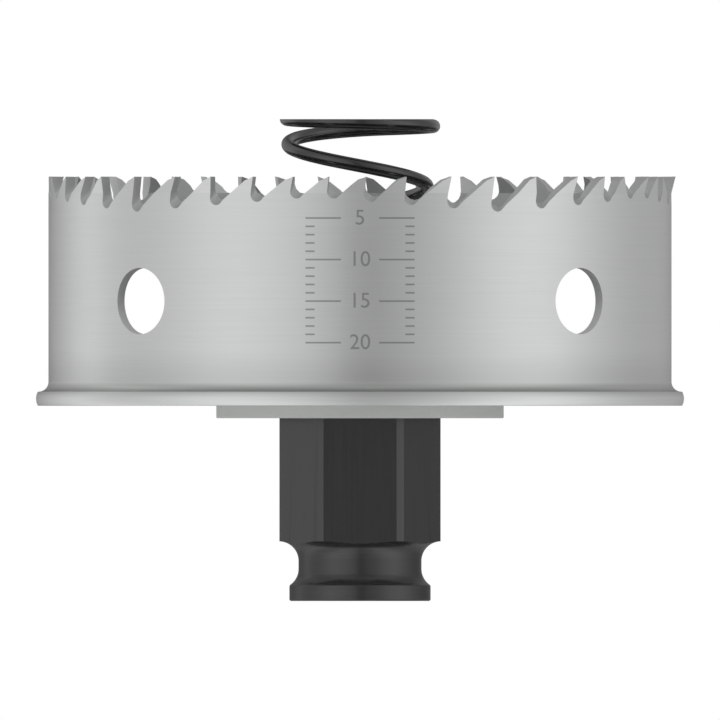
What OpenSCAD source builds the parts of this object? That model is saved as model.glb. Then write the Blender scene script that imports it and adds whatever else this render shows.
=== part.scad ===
// Hole saw with a quick-change shank and an ejector spring.
// It stands on the end of its shank, with its teeth up. The origin is the centre of that end.

/* [Cutting ring] */
// Diameter that the outward set teeth cut
cut_d = 76; // [66:1:90]
// Thickness of the strip that the ring is rolled from
wall_t = 1.2; // [1:0.05:1.5]
// Height of the ring, from the base to the tips of the teeth
ring_h = 25.9; // [23:0.1:40]

/* [Teeth] */
// Runs of teeth round the ring
tooth_runs = 5; // [4:1:6]
// Teeth in one run, whose pitch grows to the middle and falls again
run_teeth = 9; // [7:2:9]
// Angle from the front to the first tooth
tooth_phase = -5.7; // [-36:0.1:36]
// Change of pitch from one gullet to the next
pitch_step = 0.4; // [0:0.05:0.5]
// Depth of the deepest gullet on the outside of the wall
gullet_deep = 4.3; // [4:0.1:4.6]
// Change of depth from one gullet to the next
gullet_step = 0.4; // [0:0.05:0.4]
// Radius of the bottom of a gullet on the outside of the wall
gullet_r = 0.8; // [0.6:0.05:0.95]
// Radius of the bottom of a gullet on the inside of the wall
gullet_inner_r = 1.25; // [1:0.05:1.35]
// How much higher a gullet's floor is on the inside of the wall
gullet_rise = 0.65; // [0.4:0.05:0.8]
// Angle by which the cutting face of a tooth leans forward
tooth_hook = 8; // [2:1:12]
// Angle of the relief behind the cutting edge
tooth_relief = 24; // [18:1:28]
// Angle by which the relief is flatter on the inside of the wall
relief_draft = 4; // [0:1:8]
// Length of the relief, along the ring
relief_l = 1; // [0.7:0.05:1.2]
// How far a set tooth leans out or in at its tip
tooth_set = 0.5; // [0.2:0.05:0.6]
// Height of the part of a set tooth that is bent
bend_h = 2; // [1.6:0.1:2]

/* [Windows] */
// Windows round the ring
window_count = 4; // [2:1:6]
// Diameter of a window
window_d = 8; // [5:0.5:9]
// Height of the centre of a window above the base
window_h = 10.9; // [7:0.1:12]

/* [Base] */
// Thickness of the base disc
base_t = 1.7; // [1.5:0.1:3]
// How far the rim of the base stands out past the ring
rim_w = 1.5; // [1.3:0.1:3]
// Radius of the rounded edge of the rim
rim_r = 1.8; // [1.6:0.1:3]
// Radius of the weld fillet in the corner of the rim and the ring
weld_r = 1.2; // [0.6:0.1:1.2]

/* [Hub plate] */
// Diameter of the plate that stiffens the base
hub_d = 34.6; // [28:0.2:40]
// Thickness of that plate
hub_t = 1.5; // [1:0.1:3]

/* [Shank] */
// Width of the hexagon across its flats
hex_af = 17.3; // [16.4:0.1:19]
// Diameter that the corners of the hexagon are turned to
hex_turned_d = 19.4; // [19.1:0.1:21]
// Length of the shank from its end to the hub plate
shank_l = 22; // [18:0.5:30]
// Diameter of the collar at the end
collar_d = 17; // [16:0.1:18]
// Chamfer round the end
end_chamfer = 0.15; // [0.1:0.05:0.6]
// Diameter of the neck of the locking groove
neck_d = 14.8; // [14:0.1:15.5]
// Height of the middle of the locking groove
groove_z = 4.35; // [4:0.05:6]
// Radius of the sides of the locking groove
groove_r = 2.35; // [2.1:0.05:2.6]
// Width of the straight bottom of the locking groove
groove_flat = 0.95; // [0.4:0.05:1.5]
// Diameter of the bore for the pilot drill
pilot_d = 9.5; // [6.4:0.1:11]
// Diameter of the threaded spigot that holds the base
spigot_d = 15.875; // [14:0.125:16]
// How far the spigot stands up inside the cup
spigot_up = 3.2; // [2:0.1:6]
// Clearance on diameter between the spigot and the plates round it
spigot_gap = 0.1; // [0.05:0.05:0.3]

/* [Ejector spring] */
// Diameter of the spring's wire
wire_d = 1.6; // [1.2:0.1:2]
// Diameter of the spring outside, at its large upper end
spring_d = 19.4; // [18:0.1:21]
// Clearance on diameter between the pilot drill and the spring's small lower end
spring_gap = 0.5; // [0.3:0.1:1]
// How far the spring stands up past the tips of the teeth
spring_up = 6.9; // [2:0.1:12]
// Turns of the spring
spring_turns = 4.3; // [4:0.1:6]
// Turns that are closed up at each end
closed_turns = 0.84; // [0.5:0.01:1]

/* [Hidden] */
$fn = 96;

// Heights of the faces where the pieces meet
hub_z = shank_l;
base_z = hub_z + hub_t;
ring_z = base_z + base_t;
tip_z = ring_z + ring_h;
spigot_z = ring_z + spigot_up;
spring_z = tip_z + spring_up;

// The ring
body_r = cut_d / 2 - tooth_set;
inner_r = body_r - wall_t;
bend_z = tip_z - bend_h;
// Past both faces of the wall, so that a cut or a set tooth is whole
cut_past = tooth_set + 0.3;
// Top of the blank, and how far it reaches out there for the teeth that lean
blank_z = tip_z + 0.1;
lean_top = tooth_set * (blank_z - bend_z) / bend_h;
// How far a gullet's outline runs on past the tips
tip_past = 0.3;
// Top of a gullet's cutter above the tips
cutter_top = 1;
// Straight pieces in the rounded bottom of a gullet
arc_steps = 6;
// Least depth of a gullet's floor below the bend line
floor_clear = 0.05;
// Angle that is left to each side of a gullet's lowest point when the wall beside a tooth is cut
valley_gap = 0.25;
// How far such a cut laps over the wall below the bend line
bend_lap = 0.2;
// Lean of three teeth that follow each other: out, straight and in
set_order = [1, 0, -1];

// The pitch and depth of a run, which are largest at its middle gullet
run_half = (run_teeth - 1) / 2;
run_arc = 2 * PI * body_r / tooth_runs;
pitch_mid = (run_arc + pitch_step * run_half * (run_half + 1)) / run_teeth;
function pitch(m) = pitch_mid - pitch_step * abs(m - run_half);
function depth(m) = gullet_deep - gullet_step * abs(m - run_half);
function along(m) = m == 0 ? 0 : along(m - 1) + pitch(m - 1);
function arc_angle(l) = l / body_r * 180 / PI;

// The run that tooth i of the whole ring is in, its place there and its angle from the front
function run_of(i) = floor(i / run_teeth);
function place_in_run(i) = i - run_of(i) * run_teeth;
function tooth_angle(i) =
    tooth_phase + run_of(i) * 360 / tooth_runs + arc_angle(along(place_in_run(i)));

// Points of an arc about a centre, from one angle to another
function arc(centre, r, from, to, steps) =
    [for (s = [0:steps]) let (a = from + (to - from) * s / steps) centre + r * [cos(a), sin(a)]];

// Values of gullet m at a depth u into the wall, which is 0 outside and 1 inside
function half_pitch(m, u) = pitch(m) / 2 * (1 - u * wall_t / body_r);
function floor_r(u) = gullet_r + (gullet_inner_r - gullet_r) * u;
function floor_rise(m) = min(gullet_rise, depth(m) - bend_h - floor_clear);
function floor_centre(m, u) =
    let (
        r = floor_r(u),
        drop = depth(m) - floor_rise(m) * u - r
    )
    [-half_pitch(m, u) - drop * tan(tooth_hook) + r / cos(tooth_hook), -drop];

// Outline of gullet m, from the cutting face of one tooth down and up the back of the next one
function gullet_outline(m, u) =
    let (
        half = half_pitch(m, u),
        r = floor_r(u),
        centre = floor_centre(m, u),
        relief = tan(tooth_relief - relief_draft * u),
        heel = [half - relief_l, -relief_l * relief],
        sight = heel - centre,
        back = atan2(sight[1], sight[0]) - acos(min(1, r / norm(sight)))
    )
    concat(
        [[-half + cutter_top * tan(tooth_hook), cutter_top]],
        arc(centre, r, 180 - tooth_hook, 360 + back, arc_steps),
        [heel, [half + tip_past, tip_past * relief], [half + tip_past, cutter_top]]
    );

// The cutter of gullet m: its outline outside the wall, joined to its outline inside it
module gullet(m) {
    outside = gullet_outline(m, -cut_past / wall_t);
    inside = gullet_outline(m, 1 + cut_past / wall_t);
    n = len(outside);
    points = concat(
        [for (p = outside) [p[0], -body_r - cut_past, p[1]]],
        [for (p = inside) [p[0], -inner_r + cut_past, p[1]]]
    );
    sides = [
        for (i = [0:n - 1])
            for (face = [[i, (i + 1) % n, n + (i + 1) % n], [i, n + (i + 1) % n, n + i]]) face
    ];
    ends = [[for (i = [n - 1:-1:0]) i], [for (i = [0:n - 1]) n + i]];
    translate([0, 0, tip_z])
        polyhedron(points, concat(sides, ends), convexity = 4);
}

// Angle from the front to the lowest point of the gullet after tooth i, inside the wall
function valley_angle(i) =
    let (m = place_in_run(i))
    tooth_angle(i) + arc_angle(pitch(m) / 2 + floor_centre(m, 1)[0] * body_r / inner_r);

// The strip before it is ground. Above the bend it is wide enough for a tooth that leans either way.
module blank() {
    rotate_extrude()
        polygon([
            [inner_r, ring_z],
            [body_r, ring_z],
            [body_r, bend_z],
            [body_r + lean_top, blank_z],
            [inner_r - lean_top, blank_z],
            [inner_r, bend_z]
        ]);
}

// What tooth i leaves free on one side of the wall: 1 is the outside, -1 the inside
module beside_tooth(i, side) {
    face = side > 0 ? body_r : inner_r;
    clear = face + side * (lean_top + cutter_top);
    lean = set_order[i % len(set_order)] * lean_top * (cutter_top + bend_h) / (blank_z - bend_z);
    from = valley_angle(i - 1) + valley_gap;
    rotate([0, 0, from - 90])
        rotate_extrude(angle = valley_angle(i) - valley_gap - from)
            polygon([
                [face, bend_z - bend_lap],
                [clear, bend_z - bend_lap],
                [clear, tip_z + cutter_top],
                [face + lean, tip_z + cutter_top],
                [face, bend_z]
            ]);
}

// A round window through the wall
module window() {
    translate([inner_r - cut_past, 0, ring_z + window_h])
        rotate([0, 90, 0])
            cylinder(d = window_d, h = wall_t + 2 * cut_past);
}

// The toothed strip, rolled and welded into a ring
module saw_ring() {
    last = tooth_runs * run_teeth - 1;
    color("#a9abaa")
        difference() {
            difference() {
                blank();
                for (i = [0:last])
                    rotate([0, 0, tooth_angle(i) + arc_angle(pitch(place_in_run(i))) / 2])
                        gullet(place_in_run(i));
                for (i = [0:window_count - 1])
                    rotate([0, 0, (i + 0.5) * 360 / window_count])
                        window();
            }
            for (i = [0:last])
                for (side = [1, -1])
                    if (set_order[i % len(set_order)] != side) beside_tooth(i, side);
        }
}

// The disc that closes the cup, with the rim that stops it at full depth and the weld fillet
module base_flange() {
    rim = body_r + rim_w;
    edge = asin(base_t / 2 / rim_r);
    weld_start = [body_r, ring_z + weld_r];
    color("#9b9d9c")
        rotate_extrude()
            polygon(concat(
                [[(spigot_d + spigot_gap) / 2, base_z]],
                arc([rim - rim_r, base_z + base_t / 2], rim_r, -edge, edge, 6),
                arc(weld_start + [weld_r, 0], weld_r, 262, 188, 6),
                [weld_start + [0, -0.02], [body_r, ring_z], [(spigot_d + spigot_gap) / 2, ring_z]]
            ));
}

// The plate under the base that stiffens it round the spigot
module hub_plate() {
    color("#a3a5a4")
        difference() {
            translate([0, 0, hub_z]) cylinder(d = hub_d, h = hub_t);
            translate([0, 0, hub_z - 1]) cylinder(d = spigot_d + spigot_gap, h = hub_t + 2);
        }
}

// Outline of the locking groove, a straight neck between two rounded sides
module groove_outline() {
    side_x = neck_d / 2 + groove_r;
    out_x = hex_turned_d / 2 + groove_r;
    half = groove_flat / 2;
    polygon(concat(
        arc([side_x, groove_z + half], groove_r, 90, 180, 8),
        arc([side_x, groove_z - half], groove_r, 180, 270, 8),
        [[out_x, groove_z - half - groove_r], [out_x, groove_z + half + groove_r]]
    ));
}

// The black bush: collar, locking groove, hexagon and spigot in one turned piece
module shank() {
    color("#2b2c2e")
        difference() {
            union() {
                cylinder(d1 = collar_d - 2 * end_chamfer, d2 = collar_d, h = end_chamfer);
                translate([0, 0, end_chamfer]) cylinder(d = collar_d, h = groove_z - end_chamfer);
                intersection() {
                    translate([0, 0, groove_z])
                        cylinder(d = hex_af / cos(30), h = hub_z - groove_z, $fn = 6);
                    cylinder(d = hex_turned_d, h = hub_z);
                }
                cylinder(d = spigot_d, h = spigot_z);
            }
            rotate_extrude() groove_outline();
            translate([0, 0, -1]) cylinder(d = pilot_d, h = spigot_z + 2);
        }
}

// The spring's own values; it narrows downwards and stands on the end of the spigot
top_r = (spring_d - wire_d) / 2;
foot_r = (pilot_d + spring_gap + wire_d) / 2;
closed_pitch = wire_d + 0.1;
half_turns = spring_turns / 2;
half_length = (spring_z - spigot_z) / 2;
open_pitch = closed_pitch
    + (half_length - closed_pitch * half_turns) / (half_turns - closed_turns);
// Turns over which the pitch opens
opening = 0.3;
ring_steps = 28;
wire_sides = 10;

// Distance from the spring's end to its wire after t turns, along its axis
function opened(t) =
    let (s = t - closed_turns + opening / 2)
    s <= 0 ? 0 : s >= opening ? s - opening / 2 : s * s / 2 / opening;
function end_drop(t) = closed_pitch * t + (open_pitch - closed_pitch) * opened(t);
function wire_z(t) =
    t < half_turns ? spring_z - end_drop(t) : spigot_z + end_drop(spring_turns - t);
// Radius of the coil after t turns: both closed ends are round, and it narrows between them
function narrowed(t) = max(0, min(1, (t - closed_turns) / (spring_turns - 2 * closed_turns)));
function coil_r(t) = top_r + (foot_r - top_r) * narrowed(t);

// Left-hand spring: it falls as it turns from the left, across the front, to the right
module ejector_spring() {
    rings = round(spring_turns * ring_steps);
    points = [
        for (i = [0:rings])
            let (t = spring_turns * i / rings)
            for (j = [0:wire_sides - 1])
                let (
                    side = 360 * (j + 0.5) / wire_sides,
                    r = coil_r(t) + wire_d / 2 * cos(side),
                    z = wire_z(t) + wire_d / 2 * sin(side),
                    a = 180 + 360 * t
                )
                [r * cos(a), r * sin(a), max(spigot_z, min(spring_z, z))]
    ];
    sides = [
        for (i = [0:rings - 1])
            for (j = [0:wire_sides - 1])
                let (
                    a = i * wire_sides + j,
                    b = i * wire_sides + (j + 1) % wire_sides
                )
                for (face = [[a, b, b + wire_sides], [a, b + wire_sides, a + wire_sides]]) face
    ];
    first_end = [for (j = [wire_sides - 1:-1:0]) j];
    last_end = [for (j = [0:wire_sides - 1]) rings * wire_sides + j];
    color("#232426")
        polyhedron(points, concat(sides, [first_end, last_end]), convexity = 12);
}

saw_ring();
base_flange();
hub_plate();
shank();
ejector_spring();
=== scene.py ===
# %% [markdown]
# Dressing a hole saw in Blender
#
# The saw is a toothed steel cup on a black quick-change shank, with an ejector spring inside. The
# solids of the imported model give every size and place. This script loads them as a fixed frame and
# gives each piece the surface of the real one, one piece at a time.

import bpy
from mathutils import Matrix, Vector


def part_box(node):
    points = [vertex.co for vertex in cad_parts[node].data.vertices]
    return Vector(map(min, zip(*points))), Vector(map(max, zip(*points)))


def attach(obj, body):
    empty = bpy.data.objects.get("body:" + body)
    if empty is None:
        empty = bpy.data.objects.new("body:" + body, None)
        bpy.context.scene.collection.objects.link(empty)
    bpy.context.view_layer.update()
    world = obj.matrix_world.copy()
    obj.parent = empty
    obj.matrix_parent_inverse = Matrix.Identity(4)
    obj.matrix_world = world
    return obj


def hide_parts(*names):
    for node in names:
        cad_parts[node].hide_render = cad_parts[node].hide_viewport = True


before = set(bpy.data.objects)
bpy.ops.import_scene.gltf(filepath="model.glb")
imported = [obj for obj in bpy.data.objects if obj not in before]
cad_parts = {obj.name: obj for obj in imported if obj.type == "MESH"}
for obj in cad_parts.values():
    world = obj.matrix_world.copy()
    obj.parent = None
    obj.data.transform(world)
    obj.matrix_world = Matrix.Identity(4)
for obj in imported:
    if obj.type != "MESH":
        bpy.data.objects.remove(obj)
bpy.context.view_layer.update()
print("nodes:", ", ".join(sorted(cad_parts)))

# %% [markdown]
# Units, colours and nodes
#
# Blender works in metres and the drawing of a tool is in millimetres, so every size of the saw is
# written in millimetres and multiplied by MM. The stage round it is in metres. A colour is read off
# as a hex value, as in a paint program, and one function turns it to the linear values that a
# shader needs.

# %% Units and colours
import math

import bpy
from mathutils import Matrix, Vector

MM = 0.001


def linear(hex_colour):
    """The linear RGBA of an sRGB hex colour such as 'c8cac9'."""
    channels = [int(hex_colour[i:i + 2], 16) / 255 for i in (0, 2, 4)]
    bent = [c / 12.92 if c <= 0.04045 else ((c + 0.055) / 1.055) ** 2.4 for c in channels]
    return (*bent, 1.0)


print("mid grey 808080 is", round(linear("808080")[0], 3), "in linear light")

# %% [markdown]
# A material is a tree of nodes. One small function adds a node, fills in its settings and links its
# inputs, so that each material below reads as a list of what its surface is made of.

# %% A function that adds a node


def add_node(tree, kind, settings=None, links=None):
    """A new node. Settings are attributes, or inputs by name or number, and links join inputs."""
    node = tree.nodes.new(kind)
    for key, value in (settings or {}).items():
        if isinstance(key, str) and hasattr(node, key):
            setattr(node, key, value)
        else:
            node.inputs[key].default_value = value
    for key, output in (links or {}).items():
        tree.links.new(output, node.inputs[key])
    return node


def new_material(name):
    """An empty material, with its node tree and its output."""
    material = bpy.data.materials.new(name)
    material.use_nodes = True
    material.node_tree.nodes.clear()
    output = add_node(material.node_tree, "ShaderNodeOutputMaterial")
    return material, material.node_tree, output


# %% [markdown]
# The camera
#
# The photo is a straight side view with no perspective, so the camera is orthographic. It looks
# along +Y at the middle of the picture's height. Its scale is the real width that the picture
# spans.

# %% Set up the camera
PHOTO_PX = 720
PX_PER_MM = 8.308
GROUND_ROW = 601
CAMERA_AWAY = 0.6
CAMERA_REACH = 10
view_width = PHOTO_PX / PX_PER_MM * MM
view_middle = (GROUND_ROW - PHOTO_PX / 2) / PX_PER_MM * MM

bpy.ops.object.select_all(action="DESELECT")
bpy.ops.object.camera_add(location=(0, -CAMERA_AWAY, view_middle), rotation=(math.pi / 2, 0, 0))
camera = bpy.context.object
camera.name = "side_camera"
camera.data.type = "ORTHO"
camera.data.ortho_scale = view_width
camera.data.clip_end = CAMERA_REACH
bpy.context.scene.camera = camera
print("the picture spans", round(view_width / MM, 2), "mm")

# %% [markdown]
# The light
#
# Satin metal shows little of its own: it shows what stands round it. A studio for such a tool has a
# few tall soft lights, which draw soft vertical bands on the round wall. Lamps could be hung round
# the saw, but each would need its own place and softness. A world whose brightness changes with the
# compass direction gives the same bands from one list of steps.

# %% Draw the bands of the studio
# Compass direction in degrees from the viewer, to the right, and the brightness there
STUDIO = [
    (-180, 0.10), (-165, 0.25), (-150, 0.50), (-134, 0.68), (-120, 1.05), (-106, 0.68), (-92, 0.66),
    (-80, 0.69), (-65, 0.83), (-52, 1.00), (-38, 0.90), (-25, 0.82), (-16, 0.72), (-7, 0.66),
    (1, 0.15), (9, 0.50), (18, 0.54), (29, 0.61), (39, 0.76), (48, 0.90), (58, 0.94),
    (73, 1.06), (90, 0.77), (105, 0.66), (122, 0.52), (140, 0.55), (160, 0.46), (180, 0.10),
]
world = bpy.data.worlds.new("studio")
world.use_nodes = True
bpy.context.scene.world = world
bpy.context.scene.view_settings.view_transform = "Standard"
sky = world.node_tree
sky.nodes.clear()
direction = add_node(sky, "ShaderNodeTexCoord").outputs["Generated"]
heading = add_node(sky, "ShaderNodeSeparateXYZ", links={0: direction})
to_viewer = add_node(
    sky, "ShaderNodeMath", {"operation": "MULTIPLY", 1: -1.0}, {0: heading.outputs["Y"]}
)
compass = add_node(
    sky, "ShaderNodeMath", {"operation": "ARCTAN2"},
    {0: heading.outputs["X"], 1: to_viewer.outputs[0]},
)
place = add_node(
    sky, "ShaderNodeMapRange", {"From Min": -math.pi, "From Max": math.pi},
    {"Value": compass.outputs[0]},
)
bands = add_node(sky, "ShaderNodeValToRGB", links={"Fac": place.outputs[0]})
bands.color_ramp.interpolation = "B_SPLINE"
stops = bands.color_ramp.elements
while len(stops) > 1:
    stops.remove(stops[-1])
for number, (degrees, brightness) in enumerate(STUDIO):
    share_round = (degrees + 180) / 360
    stop = stops[0] if number == 0 else stops.new(share_round)
    stop.position = share_round
    stop.color = (brightness, brightness, brightness, 1)
print("the studio has", len(STUDIO), "brightness steps round the saw")

# %% [markdown]
# The bands give way to an even ceiling above. Below, they glow a little more, as light comes back
# from a pale table. The camera itself sees plain white behind the saw, and the tone of the floor
# where it looks down past the floor's edge.

# %% Add the ceiling, the glow of the table and the backdrop
CEILING_FROM = 0.6
CEILING_TONE = 0.5
TABLE_GLOW = 1.14
DOWNWARD = -0.02
height = add_node(
    sky, "ShaderNodeMapRange",
    {"From Min": CEILING_FROM, "From Max": 1.0, "interpolation_type": "SMOOTHSTEP"},
    {"Value": heading.outputs["Z"]},
)
ceiling = add_node(
    sky, "ShaderNodeMix",
    {"data_type": "RGBA", "B": (CEILING_TONE, CEILING_TONE, CEILING_TONE, 1)},
    {"Factor": height.outputs[0], "A": bands.outputs["Color"]},
)
table_glow = add_node(
    sky, "ShaderNodeMapRange",
    {"From Min": -0.5, "From Max": -0.05, "To Min": TABLE_GLOW, "To Max": 1.0},
    {"Value": heading.outputs["Z"]},
)
studio_light = add_node(
    sky, "ShaderNodeBackground",
    links={"Color": ceiling.outputs["Result"], "Strength": table_glow.outputs[0]},
)
looks_down = add_node(
    sky, "ShaderNodeMath", {"operation": "LESS_THAN", 1: DOWNWARD}, {0: heading.outputs["Z"]}
)
backdrop = add_node(
    sky, "ShaderNodeMix", {"data_type": "RGBA", "A": (1, 1, 1, 1), "B": linear("dadad9")},
    {"Factor": looks_down.outputs[0]},
)
white_wall = add_node(sky, "ShaderNodeBackground", links={"Color": backdrop.outputs["Result"]})
seen = add_node(sky, "ShaderNodeLightPath").outputs["Is Camera Ray"]
either = add_node(
    sky, "ShaderNodeMixShader",
    links={0: seen, 1: studio_light.outputs[0], 2: white_wall.outputs[0]},
)
add_node(sky, "ShaderNodeOutputWorld", links={"Surface": either.outputs[0]})
print("ceiling", CEILING_TONE, "bright, table", TABLE_GLOW, "times the bands")

# %% [markdown]
# The floor is a plain pale sheet under the shank. It is part of the stage and not of the saw. The
# steel doesn't mirror it, because the world already holds the glow of the table. A soft light above
# gives the saw its shadow on it.

# %% Lay the floor
FLOOR_SIZE = 3.0
bpy.ops.object.select_all(action="DESELECT")
bpy.ops.mesh.primitive_plane_add(size=FLOOR_SIZE, location=(0, 0, 0))
floor = bpy.context.object
floor.name = "floor"
paper, tree, output = new_material("matt white paper")
sheet = add_node(
    tree, "ShaderNodeBsdfPrincipled", {"Base Color": linear("e2e2e1"), "Roughness": 0.9}
)
tree.links.new(sheet.outputs[0], output.inputs["Surface"])
floor.data.materials.append(paper)
floor.visible_glossy = False
print("floor", FLOOR_SIZE, "m wide")

# %% Hang the soft light above
SOFTBOX_PLACE = Vector((-0.25, -0.35, 0.7))
SOFTBOX_AIM = Vector((0, 0, 0.02))
SOFTBOX_SIZE = 0.5
SOFTBOX_WATTS = 3.0
bpy.ops.object.select_all(action="DESELECT")
bpy.ops.object.light_add(type="AREA", location=SOFTBOX_PLACE)
softbox = bpy.context.object
softbox.name = "softbox"
softbox.data.shape = "SQUARE"
softbox.data.size = SOFTBOX_SIZE
softbox.data.energy = SOFTBOX_WATTS
softbox.visible_glossy = False
softbox.rotation_euler = (SOFTBOX_AIM - SOFTBOX_PLACE).to_track_quat("-Z", "Y").to_euler()
print("softbox", SOFTBOX_SIZE, "m wide,", SOFTBOX_WATTS, "W")

# %% [markdown]
# Sizes from the frame
#
# Every piece is fitted to the solid that it dresses, so the radii and heights are read off the
# solids' boxes. Only what a box can't tell, such as the wall inside the set teeth, is written here.

# %% Read the sizes off the solids
base_low, base_high = (Vector(corner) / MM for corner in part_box("base_flange"))
hub_low, hub_high = (Vector(corner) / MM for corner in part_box("hub_plate"))
ring_low, ring_high = (Vector(corner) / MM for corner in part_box("saw_ring"))
shank_low, shank_high = (Vector(corner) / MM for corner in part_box("shank"))
spring_low, spring_high = (Vector(corner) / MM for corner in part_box("ejector_spring"))
WALL_R = 37.5
WALL_T = 1.2
BEND_H = 2.0
SPIGOT_R = 15.875 / 2
SPIGOT_FIT = 0.05
BORE_R = 9.5 / 2
hole_r = SPIGOT_R + SPIGOT_FIT
bend_z = ring_high.z - BEND_H
print("teeth reach", round(ring_high.z, 2), "mm, the rim is", round(2 * base_high.x, 2), "mm wide")

# %% [markdown]
# Helpers for modelling
#
# Most of the saw was turned on a lathe or could have been, so one helper draws an outline of radius
# and height and spins it. Edit-mode tools act on what is selected, so a second helper selects edges
# by where they lie, and a third rounds them. No real edge is perfectly sharp, and it is the
# rounding that catches the light.

# %% Helpers that select, spin and round
# MERGE is how close two points lie, in millimetres, when they become one
MERGE = 0.001
SPIN_STEPS = 240


def select_only(piece):
    """Makes this piece the one active and selected object."""
    bpy.ops.object.select_all(action="DESELECT")
    piece.select_set(True)
    bpy.context.view_layer.objects.active = piece


def arc(centre, radius, start, end, steps):
    """Points in millimetres along an arc, its angles in degrees."""
    angles = [math.radians(start + (end - start) * i / steps) for i in range(steps + 1)]
    return [(centre[0] + radius * math.cos(a), centre[1] + radius * math.sin(a)) for a in angles]


def spin_outline(name, outline):
    """A closed solid of revolution round Z, from an outline of (radius, height) in millimetres."""
    bpy.ops.object.select_all(action="DESELECT")
    bpy.ops.mesh.primitive_circle_add(vertices=len(outline), radius=MM)
    piece = bpy.context.object
    piece.name = name
    for vertex, (radius, level) in zip(piece.data.vertices, outline):
        vertex.co = (radius * MM, 0, level * MM)
    bpy.ops.object.mode_set(mode="EDIT")
    bpy.ops.mesh.select_all(action="SELECT")
    bpy.ops.mesh.spin(steps=SPIN_STEPS, angle=2 * math.pi, center=(0, 0, 0), axis=(0, 0, 1))
    bpy.ops.mesh.select_all(action="SELECT")
    bpy.ops.mesh.remove_doubles(threshold=MERGE * MM)
    bpy.ops.mesh.normals_make_consistent(inside=False)
    bpy.ops.object.mode_set(mode="OBJECT")
    return piece


def select_edges(piece, wanted):
    """Selects the edges for which wanted(one_end, other_end) is true, and stays in edit mode.

    The ends are given in millimetres.
    """
    select_only(piece)
    bpy.ops.object.mode_set(mode="EDIT")
    bpy.ops.mesh.select_mode(type="EDGE")
    bpy.ops.mesh.select_all(action="DESELECT")
    bpy.ops.object.mode_set(mode="OBJECT")
    points = [vertex.co / MM for vertex in piece.data.vertices]
    for edge in piece.data.edges:
        edge.select = wanted(points[edge.vertices[0]], points[edge.vertices[1]])
    bpy.ops.object.mode_set(mode="EDIT")


def round_edges(piece, width, wanted, steps=3):
    """Rounds the wanted edges by a bevel, its width in millimetres, and merges what then meets."""
    select_edges(piece, wanted)
    bpy.ops.mesh.bevel(offset=width * MM, segments=steps, affect="EDGES", clamp_overlap=True)
    bpy.ops.mesh.select_all(action="SELECT")
    bpy.ops.mesh.remove_doubles(threshold=MERGE * MM)
    bpy.ops.object.mode_set(mode="OBJECT")


def smooth(piece, angle):
    """Smooth shading, with edges sharper than the angle in degrees kept crisp."""
    select_only(piece)
    bpy.ops.object.shade_smooth_by_angle(angle=math.radians(angle))


def dress(piece, material, node=None):
    """Gives a finished piece its material and its body, and hides the solid that it replaces."""
    if material.name not in piece.data.materials:
        piece.data.materials.append(material)
    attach(piece, "root")
    if node:
        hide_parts(node)
    print(piece.name, "has", len(piece.data.polygons), "faces")


# %% [markdown]
# Rolled strip steel
#
# The ring is bimetal strip: a tool-steel edge on a spring-steel back, rolled flat and bent round.
# The rolls leave fine lines along the strip, which run round the ring. They could be drawn as a
# wave, but real ones begin and end, so a noise is stretched along the strip instead.

# %% Make the rolled strip steel
# Satin and slightly streaked round the ring; painted shade darkens it towards the rim below
LINE_H = 0.22
LINE_L = 14.0
BLOTCH = 9.0
PAINTED_SHADE_H = 4.5
PAINTED_SHADE_SHARE = 0.45
strip_steel, tree, output = new_material("rolled strip steel")
spot = add_node(tree, "ShaderNodeTexCoord").outputs["Object"]
along = add_node(
    tree, "ShaderNodeMapping",
    {"Scale": (1 / (LINE_L * MM), 1 / (LINE_L * MM), 1 / (LINE_H * MM))}, {"Vector": spot},
)
lines = add_node(
    tree, "ShaderNodeTexNoise", {"Scale": 1.0, "Detail": 2.0}, {"Vector": along.outputs[0]}
)
blotches = add_node(
    tree, "ShaderNodeTexNoise", {"Scale": 1 / (BLOTCH * MM), "Detail": 3.0}, {"Vector": spot}
)
spot_parts = add_node(tree, "ShaderNodeSeparateXYZ", links={0: spot})
# Painted shade: the wall's colour darkens towards the rim below, where the rim shades it
painted_weld_shade = add_node(
    tree, "ShaderNodeMapRange",
    {
        "From Min": base_high.z * MM, "From Max": (base_high.z + PAINTED_SHADE_H) * MM,
        "To Min": PAINTED_SHADE_SHARE, "To Max": 0.0, "interpolation_type": "SMOOTHSTEP",
    },
    {"Value": spot_parts.outputs["Z"]},
)
steel_tone = add_node(
    tree, "ShaderNodeMix", {"data_type": "RGBA", "A": linear("d2d4d3"), "B": linear("dadcdb")},
    {"Factor": lines.outputs["Fac"]},
)
painted_shade_tone = add_node(
    tree, "ShaderNodeMix", {"data_type": "RGBA", "B": linear("b6b8b6")},
    {"Factor": painted_weld_shade.outputs[0], "A": steel_tone.outputs["Result"]},
)
gloss = add_node(
    tree, "ShaderNodeMapRange", {"To Min": 0.27, "To Max": 0.37}, {"Value": blotches.outputs["Fac"]}
)
relief = add_node(
    tree, "ShaderNodeBump", {"Strength": 0.2, "Distance": 0.003 * MM},
    {"Height": lines.outputs["Fac"]},
)
print("rolling lines", LINE_H, "mm apart")

# %% [markdown]
# The two ends of the strip are butt-welded behind, and the bead is ground flush. What is left is a
# thin dull line with a breath of heat tint beside it. A piece of geometry would stand proud, so the
# line is drawn by the distance from the middle, on the back half only.

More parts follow.
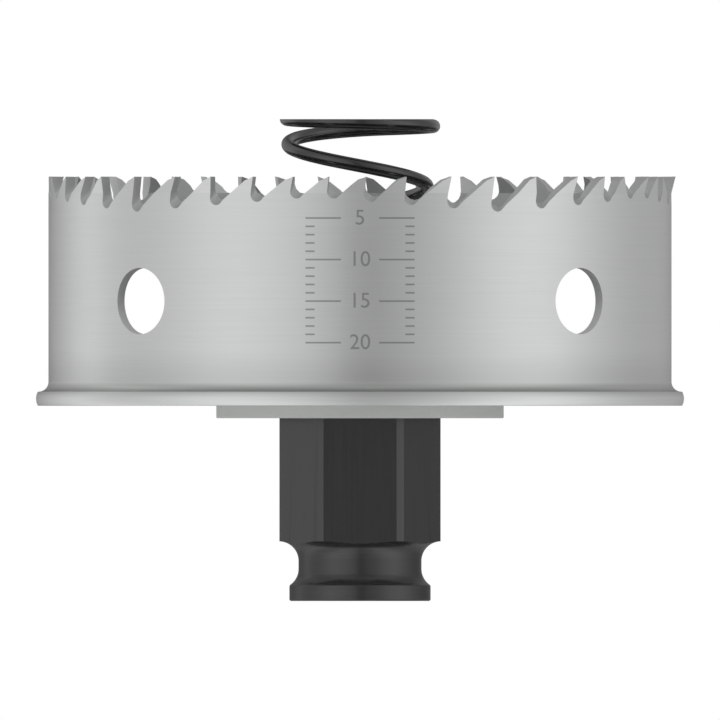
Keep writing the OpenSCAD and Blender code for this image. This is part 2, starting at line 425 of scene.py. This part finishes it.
# %% Add the ground seam at the back
SEAM_W = 0.45
SEAM_TINT_W = 2.2
SEAM_TINT_SHARE = 0.5
SEAM_DULL_SHARE = 0.6
SEAM_ROUGHNESS = 0.6
beside = add_node(
    tree, "ShaderNodeMath", {"operation": "ABSOLUTE"}, {0: spot_parts.outputs["X"]}
)
behind = add_node(
    tree, "ShaderNodeMath", {"operation": "GREATER_THAN", 1: 0.0}, {0: spot_parts.outputs["Y"]}
)
seam_tint = add_node(
    tree, "ShaderNodeMapRange",
    {
        "From Min": SEAM_W / 2 * MM, "From Max": SEAM_TINT_W * MM,
        "To Min": SEAM_TINT_SHARE, "To Max": 0.0, "interpolation_type": "SMOOTHSTEP",
    },
    {"Value": beside.outputs[0]},
)
seam_line = add_node(
    tree, "ShaderNodeMapRange",
    {
        "From Min": SEAM_W / 2 * MM, "From Max": SEAM_W * MM,
        "To Min": SEAM_DULL_SHARE, "To Max": 0.0,
    },
    {"Value": beside.outputs[0]},
)
tint_share, dull_share = (
    add_node(
        tree, "ShaderNodeMath", {"operation": "MULTIPLY"},
        {0: share.outputs[0], 1: behind.outputs[0]},
    )
    for share in (seam_tint, seam_line)
)
seam_tone = add_node(
    tree, "ShaderNodeMix", {"data_type": "RGBA", "B": linear("b4b1a9")},
    {"Factor": tint_share.outputs[0], "A": painted_shade_tone.outputs["Result"]},
)
seam_gloss = add_node(
    tree, "ShaderNodeMix", {"data_type": "FLOAT", "B": SEAM_ROUGHNESS},
    {"Factor": dull_share.outputs[0], "A": gloss.outputs[0]},
)
shader = add_node(
    tree, "ShaderNodeBsdfPrincipled", {"Metallic": 1.0},
    {
        "Base Color": seam_tone.outputs["Result"], "Roughness": seam_gloss.outputs["Result"],
        "Normal": relief.outputs[0],
    },
)
tree.links.new(shader.outputs[0], output.inputs["Surface"])
print("seam", SEAM_W, "mm wide, its tint", 2 * SEAM_TINT_W, "mm")

# %% [markdown]
# The cut faces and the inside of the strip look different from its rolled skin. A mask inside one
# material could tell them apart, but every face is wholly one or the other, so each kind of face
# gets a steel of its own. The two cut steels differ only in a few values, and one function makes
# both.

# %% Make the milled and the punched steel
# Duller than the rolled skin: fine marks in a milled gullet, and in a punched window a torn,
# lighter wall that scatters more
CUT_MARK = 0.25
CUT_SPREAD = 0.12


def cut_steel(name, tone, metallic, dullest):
    """A material for cut faces, with its tone and the roughness of its dullest spots."""
    material, tree, output = new_material(name)
    spot = add_node(tree, "ShaderNodeTexCoord").outputs["Object"]
    marks = add_node(
        tree, "ShaderNodeTexNoise", {"Scale": 1 / (CUT_MARK * MM), "Detail": 2.0}, {"Vector": spot}
    )
    gloss = add_node(
        tree, "ShaderNodeMapRange", {"To Min": dullest - CUT_SPREAD, "To Max": dullest},
        {"Value": marks.outputs["Fac"]},
    )
    relief = add_node(
        tree, "ShaderNodeBump", {"Strength": 0.3, "Distance": 0.006 * MM},
        {"Height": marks.outputs["Fac"]},
    )
    shader = add_node(
        tree, "ShaderNodeBsdfPrincipled", {"Metallic": metallic, "Base Color": linear(tone)},
        {"Roughness": gloss.outputs[0], "Normal": relief.outputs[0]},
    )
    tree.links.new(shader.outputs[0], output.inputs["Surface"])
    return material


milled_steel = cut_steel("milled tool steel", "c6c8c7", metallic=1.0, dullest=0.7)
punched_steel = cut_steel("punched strip steel", "cccecc", metallic=0.8, dullest=0.8)
print("cutting marks", CUT_MARK, "mm apart")

# %% Make the inside of the strip
# The inner face keeps the dull grey skin of hardening, because only the outside was brushed.
# Its darker tone is partly that skin and partly painted shade for the inside of the cup
SKIN_SPOT = 2.5
inner_steel, tree, output = new_material("hardened strip steel")
spot = add_node(tree, "ShaderNodeTexCoord").outputs["Object"]
skin = add_node(
    tree, "ShaderNodeTexNoise", {"Scale": 1 / (SKIN_SPOT * MM), "Detail": 4.0}, {"Vector": spot}
)
# Mottled skin, made darker than the outside as painted shade for the inside of the cup
skin_and_shade_tone = add_node(
    tree, "ShaderNodeMix", {"data_type": "RGBA", "A": linear("bcbebd"), "B": linear("c8cac9")},
    {"Factor": skin.outputs["Fac"]},
)
shader = add_node(
    tree, "ShaderNodeBsdfPrincipled", {"Metallic": 1.0, "Roughness": 0.55},
    {"Base Color": skin_and_shade_tone.outputs["Result"]},
)
tree.links.new(shader.outputs[0], output.inputs["Surface"])
print("mottled skin with spots of", SKIN_SPOT, "mm")

# %% [markdown]
# The toothed ring
#
# The teeth, gullets and windows are right in the solid, but its mesh is loose triangles with flat
# shading. A merged copy gets even shading. A cylinder cut into by gullets shades in streaks,
# because its long faces meet at corners far from their middles, so the wall is also told its true
# normals: on a round wall they point straight out from the axis.

# %% Helpers that copy a solid and set true normals
# FLAT_ANGLE is in degrees. A face is part of the wall when it looks out or in by ROUND_SHARE or
# more, and up or down by LEAN_SHARE at most
FLAT_ANGLE = 0.05
ROUND_SHARE = 0.99
LEAN_SHARE = 0.02


def merged_copy(node, name):
    """A copy of a CAD node with its triangles merged into one closed skin, at the same place."""
    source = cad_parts[node]
    piece = bpy.data.objects.new(name, source.data.copy())
    bpy.context.scene.collection.objects.link(piece)
    piece.data.materials.clear()
    select_only(piece)
    bpy.ops.object.mode_set(mode="EDIT")
    bpy.ops.mesh.customdata_custom_splitnormals_clear()
    bpy.ops.mesh.select_all(action="SELECT")
    bpy.ops.mesh.remove_doubles(threshold=MERGE * MM)
    bpy.ops.mesh.dissolve_limited(angle_limit=math.radians(FLAT_ANGLE))
    bpy.ops.object.mode_set(mode="OBJECT")
    return piece


def outward_share(face):
    """How far a face looks away from the axis: 1 is straight out and -1 straight in."""
    return face.normal.dot(Vector((face.center.x, face.center.y, 0)).normalized())


def round_normals(piece, highest):
    """Points the normals of the round wall straight out or in, up to a height in millimetres."""
    mesh = piece.data
    normals = [Vector(corner.vector) for corner in mesh.corner_normals]
    for face in mesh.polygons:
        outward = outward_share(face)
        is_wall = abs(outward) >= ROUND_SHARE and abs(face.normal.z) <= LEAN_SHARE
        top = max(mesh.vertices[i].co.z for i in face.vertices)
        if not is_wall or top > highest * MM:
            continue
        for loop in face.loop_indices:
            point = mesh.vertices[mesh.loops[loop].vertex_index].co
            away = Vector((point.x, point.y, 0)).normalized()
            normals[loop] = away if outward > 0 else -away
    mesh.normals_split_custom_set(normals)


# %% [markdown]
# The line where the teeth bend is marked sharp, because the light breaks there on the real teeth.
# Each face then gets its steel by where it looks: a face that looks neither out nor in is a cut,
# and a cut near the tips belongs to a gullet and not to a window.

# %% Shade the ring
# NEAR is how close, in millimetres, a point lies to a line or a face when it counts as on it. No
# gullet reaches GULLETS_REACH below the tips, and a cut looks out or in by less than CUT_SHARE
NEAR = 0.01
GULLETS_REACH = 7.0
CUT_SHARE = 0.8
RING_STEELS = (strip_steel, milled_steel, punched_steel, inner_steel)
STRIP, MILLED, PUNCHED, INNER = range(len(RING_STEELS))
gullets_from = ring_high.z - GULLETS_REACH
ring = merged_copy("saw_ring", "saw_ring_finish")
smooth(ring, 30)


def on_the_bend(one_end, other_end):
    """An edge along the line where the teeth bend out or in."""
    return all(abs(end.z - bend_z) < NEAR for end in (one_end, other_end))


select_edges(ring, on_the_bend)
bpy.ops.mesh.mark_sharp()
bpy.ops.object.mode_set(mode="OBJECT")
round_normals(ring, bend_z + NEAR)
for material in RING_STEELS:
    ring.data.materials.append(material)
for face in ring.data.polygons:
    outward = outward_share(face)
    if abs(outward) < CUT_SHARE and face.center.z > (ring_low.z + NEAR) * MM:
        face.material_index = MILLED if face.center.z > gullets_from * MM else PUNCHED
    else:
        face.material_index = STRIP if outward >= 0 else INNER
for index, cuts in ((MILLED, "gullets"), (PUNCHED, "windows")):
    print(sum(face.material_index == index for face in ring.data.polygons), "faces in the", cuts)
dress(ring, strip_steel, "saw_ring")

# %% [markdown]
# An etched depth scale
#
# The front of the ring carries a laser-etched depth scale: a number and long lines for each 5 mm
# below the tips of the teeth, and short lines for each millimetre. Text turned to a mesh is flat,
# so the scale is first cut into narrow strips and then rolled on to the wall.

# %% Make the etched mark
# The laser heats the skin and leaves it darker and duller, without any depth
etched_steel, tree, output = new_material("laser-annealed steel")
shader = add_node(
    tree, "ShaderNodeBsdfPrincipled",
    {"Base Color": linear("a0a2a1"), "Metallic": 1.0, "Roughness": 0.4},
)
tree.links.new(shader.outputs[0], output.inputs["Surface"])
print("the scale is marked in", etched_steel.name)

# %% Draw the scale flat
LINE_W = 0.2
HALF_SCALE_W = 6.6
SHORT_LINE = 1.1
LONG_LINE_GAP = 2.3
NUMBER_H = 2.6
NUMBER_EVERY = 5
DEEPEST = 20


def flat_line(start, end, depth):
    """A flat line of the scale, from start to end across, at a depth below the tips."""
    middle = ((start + end) / 2 * MM, (ring_high.z - depth) * MM, 0)
    bpy.ops.object.select_all(action="DESELECT")
    bpy.ops.mesh.primitive_plane_add(size=1, location=middle)
    line = bpy.context.object
    line.scale = ((end - start) * MM, LINE_W * MM, 1)
    bpy.ops.object.transform_apply(location=True, rotation=False, scale=True)
    return line


def flat_number(depth):
    """The depth as a flat number at the middle of the scale, turned to a mesh."""
    bpy.ops.object.select_all(action="DESELECT")
    bpy.ops.object.text_add(location=(0, (ring_high.z - depth) * MM, 0))
    text = bpy.context.object
    text.data.body = str(depth)
    text.data.size = NUMBER_H * MM
    text.data.align_x = "CENTER"
    text.data.align_y = "CENTER"
    bpy.ops.object.convert(target="MESH")
    bpy.ops.object.transform_apply(location=True, rotation=False, scale=False)
    return bpy.context.object


flat_marks = []
for depth in range(NUMBER_EVERY, DEEPEST + 1):
    has_number = depth % NUMBER_EVERY == 0
    inner_end = LONG_LINE_GAP if has_number else HALF_SCALE_W - SHORT_LINE
    for side in (-1, 1):
        flat_marks.append(flat_line(*sorted((side * inner_end, side * HALF_SCALE_W)), depth))
    if has_number:
        flat_marks.append(flat_number(depth))
select_only(flat_marks[0])
for mark in flat_marks:
    mark.select_set(True)
bpy.ops.object.join()
scale = bpy.context.object
scale.name = "depth_scale"
print(len(flat_marks), "marks drawn flat")

# %% Roll the scale on to the wall
# The marks are a thin SKIN that stands PROUD of the wall and reaches into it with the rest
STRIP_W = 0.3
SKIN = 0.03
PROUD = 0.012
bpy.ops.object.mode_set(mode="EDIT")
strips = int(HALF_SCALE_W / STRIP_W)
for strip in range(-strips, strips + 1):
    bpy.ops.mesh.select_all(action="SELECT")
    bpy.ops.mesh.bisect(plane_co=(strip * STRIP_W * MM, 0, 0), plane_no=(1, 0, 0))
bpy.ops.mesh.select_all(action="SELECT")
bpy.ops.mesh.remove_doubles(threshold=MERGE * MM)
bpy.ops.object.mode_set(mode="OBJECT")
scale_r = (WALL_R + PROUD) * MM
for vertex in scale.data.vertices:
    across, up = vertex.co.x, vertex.co.y
    vertex.co = (scale_r * math.sin(across / scale_r), -scale_r * math.cos(across / scale_r), up)
bpy.ops.object.modifier_add(type="SOLIDIFY")
scale.modifiers[-1].thickness = SKIN * MM
scale.modifiers[-1].offset = -1
bpy.ops.object.modifier_apply(modifier=scale.modifiers[-1].name)
smooth(scale, 30)
dress(scale, etched_steel)

# %% [markdown]
# Turned sheet steel
#
# The base and its rim were faced on a lathe. The tool leaves fine lines round the axis, on the flat
# faces as well as on the edge. They depend on the radius and the height and hardly on the angle, so
# the noise is fed the radius and the height at the scale of the lines, and the place from side to
# side at a much coarser one.

# %% Make the turned sheet steel
# Soft bright rings round the axis, each as fine as the feed of the lathe; painted shade darkens
# the rim's top corner next to the weld
FEED = 0.18
TURN_L = 12.0
WELD_OUT = 0.6
WELD_UP = 0.3
DARK_WITHIN = 0.7
CLEAR_BEYOND = 1.4
turned_steel, tree, output = new_material("turned sheet steel")
spot = add_node(tree, "ShaderNodeTexCoord").outputs["Object"]
flat_spot = add_node(
    tree, "ShaderNodeVectorMath", {"operation": "MULTIPLY", 1: (1, 1, 0)}, {0: spot}
)
radius = add_node(tree, "ShaderNodeVectorMath", {"operation": "LENGTH"}, {0: flat_spot.outputs[0]})
spot_parts = add_node(tree, "ShaderNodeSeparateXYZ", links={0: spot})
lathe_spot = add_node(
    tree, "ShaderNodeCombineXYZ",
    links={
        "X": radius.outputs["Value"], "Y": spot_parts.outputs["Z"], "Z": spot_parts.outputs["X"]
    },
)
lathe_scale = add_node(
    tree, "ShaderNodeMapping",
    {"Scale": (1 / (FEED * MM), 1 / (FEED * MM), 1 / (TURN_L * MM))},
    {"Vector": lathe_spot.outputs[0]},
)
rings = add_node(
    tree, "ShaderNodeTexNoise", {"Scale": 1.0, "Detail": 2.0}, {"Vector": lathe_scale.outputs[0]}
)
steel_tone = add_node(
    tree, "ShaderNodeMix", {"data_type": "RGBA", "A": linear("d6d8d7"), "B": linear("e0e2e1")},
    {"Factor": rings.outputs["Fac"]},
)
profile_spot = add_node(
    tree, "ShaderNodeCombineXYZ",
    links={"X": radius.outputs["Value"], "Y": spot_parts.outputs["Z"]},
)
weld_middle = ((WALL_R + WELD_OUT) * MM, (ring_low.z + WELD_UP) * MM, 0)
from_weld = add_node(
    tree, "ShaderNodeVectorMath", {"operation": "DISTANCE", 1: weld_middle},
    {0: profile_spot.outputs[0]},
)
# Painted shade: the colour darkens round the corner where the weld meets the rim
painted_weld_shade = add_node(
    tree, "ShaderNodeMapRange",
    {
        "From Min": DARK_WITHIN * MM, "From Max": CLEAR_BEYOND * MM,
        "To Min": 1.0, "To Max": 0.0,
    },
    {"Value": from_weld.outputs["Value"]},
)
painted_shade_tone = add_node(
    tree, "ShaderNodeMix", {"data_type": "RGBA", "B": linear("bbbdbb")},
    {"Factor": painted_weld_shade.outputs[0], "A": steel_tone.outputs["Result"]},
)
gloss = add_node(
    tree, "ShaderNodeMapRange", {"To Min": 0.3, "To Max": 0.42}, {"Value": rings.outputs["Fac"]}
)
relief = add_node(
    tree, "ShaderNodeBump", {"Strength": 0.4, "Distance": 0.006 * MM},
    {"Height": rings.outputs["Fac"]},
)
shader = add_node(
    tree, "ShaderNodeBsdfPrincipled", {"Metallic": 1.0},
    {
        "Base Color": painted_shade_tone.outputs["Result"], "Roughness": gloss.outputs[0],
        "Normal": relief.outputs[0],
    },
)
tree.links.new(shader.outputs[0], output.inputs["Surface"])
print("turning lines", FEED, "mm apart")

# %% [markdown]
# The base with its rim
#
# The base closes the cup. Its rim stops the saw at full depth, and the weld that holds the ring
# fills the corner above the rim with a smooth hollow. The whole piece is one outline spun round the
# axis: the rounded edge and the hollow are arcs. The corners of the hole and the lower corner of
# the rim are rounded afterwards.

# %% Spin the base
# The hollow's arc ends a degree before it would run straight up the wall
EDGE_R = 1.8
WELD_R = 1.2
WELD_ENDS_AT = 181
HOLE_ROUNDING = 0.15
RIM_ROUNDING = 0.08
base_t = ring_low.z - base_low.z
edge_half = math.degrees(math.asin(base_t / 2 / EDGE_R))
edge_middle = (base_high.x - EDGE_R, (base_low.z + ring_low.z) / 2)
rim_edge = arc(edge_middle, EDGE_R, -edge_half, edge_half, steps=16)
weld = arc((WALL_R + WELD_R, ring_low.z + WELD_R), WELD_R, 270, WELD_ENDS_AT, steps=16)
base_outline = [
    (hole_r, base_low.z), *rim_edge, *weld, (WALL_R - WALL_T / 2, ring_low.z), (hole_r, ring_low.z),
]
base = spin_outline("base_flange_finish", base_outline)


def round_the_hole(one_end, other_end):
    """An edge that runs round the hole, at either face."""
    level = abs(one_end.z - other_end.z) < NEAR
    return level and all(abs(end.xy.length - hole_r) < NEAR for end in (one_end, other_end))


def under_the_rim(one_end, other_end):
    """An edge round the rim's lower corner."""
    return all(end.z < base_low.z + NEAR and end.xy.length > WALL_R for end in (one_end, other_end))


round_edges(base, HOLE_ROUNDING, round_the_hole)
round_edges(base, RIM_ROUNDING, under_the_rim)
smooth(base, 20)
dress(base, turned_steel, "base_flange")

# %% [markdown]
# The plate under the base
#
# The smaller plate was punched from sheet and tumbled, which leaves it more matt than the turned
# rim, with a fine even grain. The die draws in the edges of one face, so the rectangle that is spun
# here gets rounded corners on its lower face only.

# %% Make the tumbled plate steel
# Matt and even, so that it hardly shows the bands of the studio
GRAIN = 0.16
tumbled_steel, tree, output = new_material("punched and tumbled plate steel")
spot = add_node(tree, "ShaderNodeTexCoord").outputs["Object"]
grain = add_node(
    tree, "ShaderNodeTexNoise", {"Scale": 1 / (GRAIN * MM), "Detail": 2.0}, {"Vector": spot}
)
steel_tone = add_node(
    tree, "ShaderNodeMix", {"data_type": "RGBA", "A": linear("d2d4d2"), "B": linear("dee0de")},
    {"Factor": grain.outputs["Fac"]},
)
relief = add_node(
    tree, "ShaderNodeBump", {"Strength": 0.35, "Distance": 0.01 * MM},
    {"Height": grain.outputs["Fac"]},
)
shader = add_node(
    tree, "ShaderNodeBsdfPrincipled", {"Metallic": 0.7, "Roughness": 0.75},
    {"Base Color": steel_tone.outputs["Result"], "Normal": relief.outputs[0]},
)
tree.links.new(shader.outputs[0], output.inputs["Surface"])
print("tumbled grain", GRAIN, "mm")

# %% Spin the plate
PLATE_ROUNDING = 0.12
hub_r = hub_high.x
hub_outline = [(hole_r, hub_low.z), (hub_r, hub_low.z), (hub_r, hub_high.z), (hole_r, hub_high.z)]
hub = spin_outline("hub_plate_finish", hub_outline)


def round_the_lower_face(one_end, other_end):
    """An edge that runs round the plate's lower face, outside or at the hole."""
    runs_round = abs(one_end.xy.length - other_end.xy.length) < NEAR
    return runs_round and all(end.z < hub_low.z + NEAR for end in (one_end, other_end))


round_edges(hub, PLATE_ROUNDING, round_the_lower_face)
smooth(hub, 20)
dress(hub, tumbled_steel, "hub_plate")

# %% [markdown]
# Black oxide
#
# The shank was turned from hexagon bar and blacked in a hot bath. The oxide is thinner than paint,
# so the turning lines of the groove and the drawing lines of the flats still show through, and the
# surface is a dark metal rather than a plastic: its reflections have the colour of the oxide.

# %% Make the black oxide on turned steel
# A dark satin metal: lines round the axis where it was turned, and along the flats above
GROOVE_TOP = 7.2
BLEND = 0.2
shank_black, tree, output = new_material("black oxide on turned steel")
spot = add_node(tree, "ShaderNodeTexCoord").outputs["Object"]
turning = add_node(
    tree, "ShaderNodeMapping",
    {"Scale": (1 / (TURN_L * MM), 1 / (TURN_L * MM), 1 / (FEED * MM))}, {"Vector": spot},
)
drawing = add_node(
    tree, "ShaderNodeMapping",
    {"Scale": (1 / (FEED * MM), 1 / (FEED * MM), 1 / (TURN_L * MM))}, {"Vector": spot},
)
turned_lines, drawn_lines = (
    add_node(
        tree, "ShaderNodeTexNoise", {"Scale": 1.0, "Detail": 2.0}, {"Vector": stretched.outputs[0]}
    )
    for stretched in (turning, drawing)
)
spot_parts = add_node(tree, "ShaderNodeSeparateXYZ", links={0: spot})
on_the_flats = add_node(
    tree, "ShaderNodeMapRange",
    {"From Min": (GROOVE_TOP - BLEND) * MM, "From Max": (GROOVE_TOP + BLEND) * MM},
    {"Value": spot_parts.outputs["Z"]},
)
tool_lines = add_node(
    tree, "ShaderNodeMix", {"data_type": "FLOAT"},
    {
        "Factor": on_the_flats.outputs[0],
        "A": turned_lines.outputs["Fac"], "B": drawn_lines.outputs["Fac"],
    },
)
oxide_tone = add_node(
    tree, "ShaderNodeMix", {"data_type": "RGBA", "A": linear("4c4c4c"), "B": linear("565657")},
    {"Factor": tool_lines.outputs["Result"]},
)
gloss = add_node(
    tree, "ShaderNodeMapRange", {"To Min": 0.19, "To Max": 0.29},
    {"Value": tool_lines.outputs["Result"]},
)
relief = add_node(
    tree, "ShaderNodeBump", {"Strength": 0.3, "Distance": 0.005 * MM},
    {"Height": tool_lines.outputs["Result"]},
)
print("turned below", GROOVE_TOP, "mm and drawn above")

# %% [markdown]
# The oxide scatters a little light too, and more on the sides of the groove, where the tool's lines
# are coarser. Those sides look up or down, and how far they do is the height part of a face's
# normal. Metallic is therefore a little below 1, and lower where a face looks up or down.

# %% Let the sides of the groove scatter
METAL_UPRIGHT = 0.95
METAL_LEVEL = 0.35
facing = add_node(tree, "ShaderNodeNewGeometry").outputs["Normal"]
facing_parts = add_node(tree, "ShaderNodeSeparateXYZ", links={0: facing})
up_or_down = add_node(
    tree, "ShaderNodeMath", {"operation": "ABSOLUTE"}, {0: facing_parts.outputs["Z"]}
)
metal_share = add_node(
    tree, "ShaderNodeMapRange",
    {"From Min": 0.35, "From Max": 0.9, "To Min": METAL_UPRIGHT, "To Max": METAL_LEVEL},
    {"Value": up_or_down.outputs[0]},
)
shader = add_node(
    tree, "ShaderNodeBsdfPrincipled", {"Specular Tint": linear("c4c4c4")},
    {
        "Base Color": oxide_tone.outputs["Result"], "Metallic": metal_share.outputs[0],
        "Roughness": gloss.outputs[0], "Normal": relief.outputs[0],
    },
)
tree.links.new(shader.outputs[0], output.inputs["Surface"])
print("metallic", METAL_UPRIGHT, "on upright faces and", METAL_LEVEL, "on level ones")

# %% [markdown]
# The quick-change shank
#
# The collar, the locking groove, the hexagon's turned corners and the spigot are one turned outline
# with the pilot bore inside it. The collar is narrower than the hexagon, so the six flats can then
# be cut with six straight bisects that never touch it, just as a mill would. Where a flat meets the
# groove, its lower edge comes out curved by itself.

# %% Draw the shank's outline
COLLAR_R = 8.5
END_CHAMFER = 0.15
NECK_R = 7.4
GROOVE_Z = 4.35
GROOVE_R = 2.35
GROOVE_FLAT = 0.95
TURNED_R = 9.7
BORE_CHAMFER = 0.4
THREAD_PITCH = 25.4 / 18
THREAD_STEPS = 12
THREAD_FROM = 0.5
shank_end, shank_top = shank_low.z, shank_high.z
groove_x = NECK_R + GROOVE_R
collar_angle = 180 + math.degrees(math.acos((groove_x - COLLAR_R) / GROOVE_R))
corner_angle = 180 - math.degrees(math.acos((groove_x - TURNED_R) / GROOVE_R))
lower_middle = (groove_x, shank_end + GROOVE_Z - GROOVE_FLAT / 2)
upper_middle = (groove_x, shank_end + GROOVE_Z + GROOVE_FLAT / 2)
lower_side = arc(lower_middle, GROOVE_R, collar_angle, 180, steps=16)
upper_side = arc(upper_middle, GROOVE_R, 180, corner_angle, steps=20)
collar_top = lower_side[0][1]
thread_rows = int((shank_top - hub_low.z) / THREAD_PITCH * THREAD_STEPS)
row_h = (shank_top - hub_low.z - THREAD_FROM) / thread_rows
spigot = [(SPIGOT_R, hub_low.z + THREAD_FROM + row_h * row) for row in range(thread_rows)]
shank_outline = [
    (BORE_R + BORE_CHAMFER, shank_end), (COLLAR_R - END_CHAMFER, shank_end),
    (COLLAR_R, shank_end + END_CHAMFER), *lower_side, *upper_side, (TURNED_R, hub_low.z),
    (SPIGOT_R, hub_low.z), *spigot, (SPIGOT_R, shank_top),
    (BORE_R + BORE_CHAMFER, shank_top), (BORE_R, shank_top - BORE_CHAMFER),
    (BORE_R, shank_end + BORE_CHAMFER),
]
print("outline of", len(shank_outline), "points, groove", round(2 * NECK_R, 1), "mm at its neck")

# %% Spin the shank and cut the flats
COLLAR_ROUNDING = 0.2
FLAT_DISTANCE = 17.3 / 2
FLATS = 6
shank = spin_outline("shank_finish", shank_outline)


def round_the_collar(one_end, other_end):
    """An edge round the top of the collar, where the light runs along it."""
    level = all(abs(end.z - collar_top) < NEAR for end in (one_end, other_end))
    return level and all(abs(end.xy.length - COLLAR_R) < NEAR for end in (one_end, other_end))


round_edges(shank, COLLAR_ROUNDING, round_the_collar, steps=4)
bpy.ops.object.mode_set(mode="EDIT")
for number in range(FLATS):
    facing = Matrix.Rotation(2 * math.pi * number / FLATS, 3, "Z") @ Vector((0, -1, 0))
    bpy.ops.mesh.select_all(action="SELECT")
    bpy.ops.mesh.bisect(
        plane_co=facing * FLAT_DISTANCE * MM, plane_no=facing, use_fill=True, clear_outer=True
    )
bpy.ops.object.mode_set(mode="OBJECT")
print(FLATS, "flats,", 2 * FLAT_DISTANCE, "mm across")

# %% [markdown]
# The spigot that passes through both plates is threaded, 18 turns to the inch. A thread is a groove
# whose depth depends on the height less the turn, so the fine rows of the spigot are pushed in by a
# wave of the two. The wave is cut off at both ends, which leaves a small flat on the thread's crest
# and at its root. At the top the thread fades into a lead-in chamfer.

# %% Cut the thread on the spigot
THREAD_DEPTH = 0.7
THREAD_FLAT = 0.1
LEAD_IN = 0.9
for vertex in shank.data.vertices:
    x, y, z = vertex.co / MM
    reach = math.hypot(x, y)
    if abs(reach - SPIGOT_R) > NEAR or z < hub_low.z + NEAR:
        continue
    turn = (z / THREAD_PITCH - math.atan2(y, x) / (2 * math.pi)) % 1
    flank = 1 - abs(2 * turn - 1)
    groove = THREAD_DEPTH * min(1, max(0, (flank - THREAD_FLAT) / (1 - 2 * THREAD_FLAT)))
    chamfer = max(0, LEAD_IN - (shank_top - z))
    cut_to = SPIGOT_R - max(groove, chamfer)
    vertex.co.x = x / reach * cut_to * MM
    vertex.co.y = y / reach * cut_to * MM
print("thread pitch", round(THREAD_PITCH, 3), "mm")

# %% Shade the shank
smooth(shank, 22)
dress(shank, shank_black, "shank")

# %% [markdown]
# The ejector spring
#
# The spring pushes the cut disc out of the cup. Its wire was drawn through a polished die and then
# blacked. The shank's oxide could be used again, but it is too rough for drawn wire, so the spring
# gets a smoother one.

# %% Make the blacked spring wire
# Nearly black and smooth, so that it mirrors the teeth and the cup as long streaks
DRAW_MARK = 0.4
spring_black, tree, output = new_material("black oxide on drawn spring wire")
spot = add_node(tree, "ShaderNodeTexCoord").outputs["Object"]
draw = add_node(
    tree, "ShaderNodeTexNoise", {"Scale": 1 / (DRAW_MARK * MM), "Detail": 2.0}, {"Vector": spot}
)
gloss = add_node(
    tree, "ShaderNodeMapRange", {"To Min": 0.12, "To Max": 0.2}, {"Value": draw.outputs["Fac"]}
)
relief = add_node(
    tree, "ShaderNodeBump", {"Strength": 0.1, "Distance": 0.01 * MM},
    {"Height": draw.outputs["Fac"]},
)
shader = add_node(
    tree, "ShaderNodeBsdfPrincipled", {"Metallic": 1.0, "Base Color": linear("545455")},
    {"Roughness": gloss.outputs[0], "Normal": relief.outputs[0]},
)
tree.links.new(shader.outputs[0], output.inputs["Surface"])
print("drawing marks", DRAW_MARK, "mm apart")

# %% [markdown]
# The spring is one wire, wound left-handed from the top at the left and narrowing to its foot,
# which stands on the end of the spigot. Its ends are closed coils ground flat. A circle could be
# spun upward, but the pitch and the radius change on the way. A curve follows the wire's middle by
# a formula instead, and its bevel gives the wire. The ends are ground by moving what stands past
# the top or the foot back to that level.

# %% Work out the coils
# At each end CLOSED_TURNS of the wire lie close together, and the pitch opens over OPENING turns
WIRE_D = 1.6
FOOT_GAP = 0.25
TURNS = 4.3
CLOSED_TURNS = 0.84
CLOSED_GAP = 0.1
OPENING = 0.3
top_r = spring_high.y - WIRE_D / 2
foot_r = BORE_R + FOOT_GAP + WIRE_D / 2
closed_pitch = WIRE_D + CLOSED_GAP
half_turns = TURNS / 2
half_length = (spring_high.z - spring_low.z) / 2
open_pitch = closed_pitch + (half_length - closed_pitch * half_turns) / (half_turns - CLOSED_TURNS)


def wire_drop(turns):
    """How far the wire's middle lies from the ground end of the spring after so many turns."""
    past = max(0, turns - CLOSED_TURNS + OPENING / 2)
    while_opening = min(past, OPENING)
    opened = while_opening * while_opening / 2 / OPENING + past - while_opening
    return closed_pitch * turns + (open_pitch - closed_pitch) * opened


def wire_point(turns):
    """The wire's middle in millimetres, so many turns down from the top."""
    if turns < half_turns:
        z = spring_high.z - wire_drop(turns)
    else:
        z = spring_low.z + wire_drop(TURNS - turns)
    narrowed = max(0, min(1, (turns - CLOSED_TURNS) / (TURNS - 2 * CLOSED_TURNS)))
    coil_r = top_r + (foot_r - top_r) * narrowed
    angle = math.pi + 2 * math.pi * turns
    return Vector((coil_r * math.cos(angle), coil_r * math.sin(angle), z))


print("open pitch", round(open_pitch, 2), "mm, closed pitch", round(closed_pitch, 2), "mm")

# %% Wind the spring
STEPS_PER_TURN = 90
path = bpy.data.curves.new("spring_path", "CURVE")
path.dimensions = "3D"
path.bevel_depth = WIRE_D / 2 * MM
path.bevel_resolution = 8
path.use_fill_caps = True
steps = round(TURNS * STEPS_PER_TURN)
wire = path.splines.new("POLY")
wire.points.add(steps)
for step, point in enumerate(wire.points):
    point.co = (*wire_point(TURNS * step / steps) * MM, 1)
spring = bpy.data.objects.new("ejector_spring_finish", path)
bpy.context.scene.collection.objects.link(spring)
select_only(spring)
bpy.ops.object.convert(target="MESH")
spring = bpy.context.object
for vertex in spring.data.vertices:
    vertex.co.z = max(spring_low.z * MM, min(spring_high.z * MM, vertex.co.z))
bpy.ops.object.mode_set(mode="EDIT")
bpy.ops.mesh.select_all(action="SELECT")
bpy.ops.mesh.remove_doubles(threshold=MERGE * MM)
bpy.ops.mesh.normals_make_consistent(inside=False)
bpy.ops.object.mode_set(mode="OBJECT")
smooth(spring, 30)
dress(spring, spring_black, "ejector_spring")
